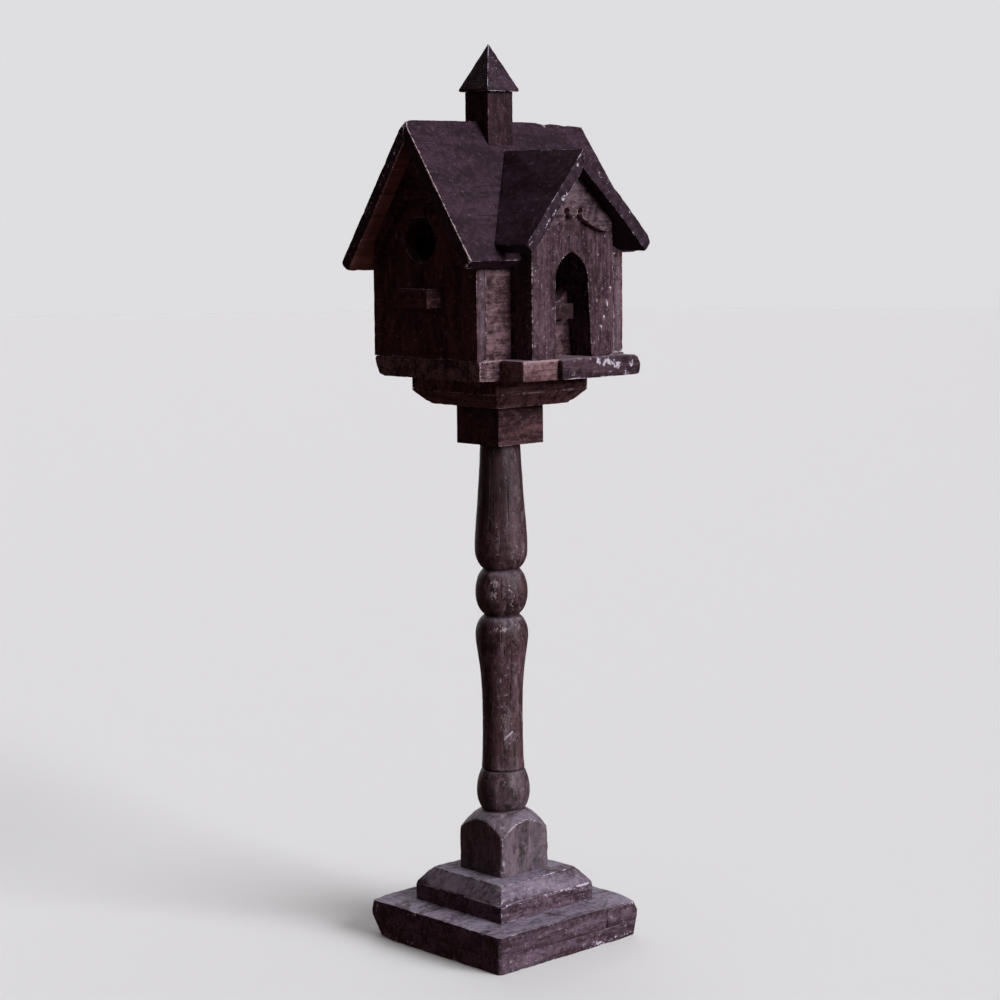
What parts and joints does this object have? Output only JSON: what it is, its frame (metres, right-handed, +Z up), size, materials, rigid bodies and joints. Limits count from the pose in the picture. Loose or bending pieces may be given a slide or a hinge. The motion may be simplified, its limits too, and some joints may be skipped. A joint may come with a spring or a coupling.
{
  "type": "birdhouse on post",
  "caption": "Folk-art wooden birdhouse shaped like a small chapel, with an arched porch and a cupola, on a turned post with a stepped square base.",
  "frame": {"origin": "centre of the plinth's underside", "axes": "+Z up the post, -Y out of the arched porch front, +X to the right seen from the front"},
  "size_m": [0.1545, 0.1427, 0.5774],
  "materials": {
    "base_wood": "matt dark stain with dusty worn edges",
    "post_wood": "matt dark stain, mottled, vertical grain",
    "wall_wood": "matt dark stain",
    "roof_wood": "matt dark stain, smooth",
    "trim_wood": "matt dark stain",
    "bare_wood": "thin worn stain over bare wood",
    "old_steel": "dull oxidised steel"
  },
  "bodies": {
    "root": {"plinth_lower_board": "base_wood", "plinth_upper_board": "base_wood", "plinth_edge_board": "base_wood", "step_board": "base_wood", "bevelled_step_board": "base_wood", "turned_post": "post_wood", "top_block": "wall_wood", "flared_board": "wall_wood", "under_board": "wall_wood", "floor_board": "wall_wood", "porch_floor": "bare_wood", "doorstep_strip": "trim_wood", "front_wall": "wall_wood", "back_wall": "wall_wood", "left_gable_wall": "wall_wood", "right_gable_wall": "wall_wood", "bay_front": "wall_wood", "left_gable_trim": "trim_wood", "right_gable_trim": "trim_wood", "bay_gable_trim": "trim_wood", "left_perch_block": "trim_wood", "right_perch_block": "trim_wood", "niche_perch_block": "trim_wood", "front_roof_board": "roof_wood", "back_roof_board": "roof_wood", "dormer_left_board": "roof_wood", "dormer_right_board": "roof_wood", "cupola_tower": "roof_wood", "cupola_cap": "roof_wood", "base_screws": "old_steel", "head_screws": "old_steel", "wall_nails": "old_steel"}
  },
  "joints": []
}
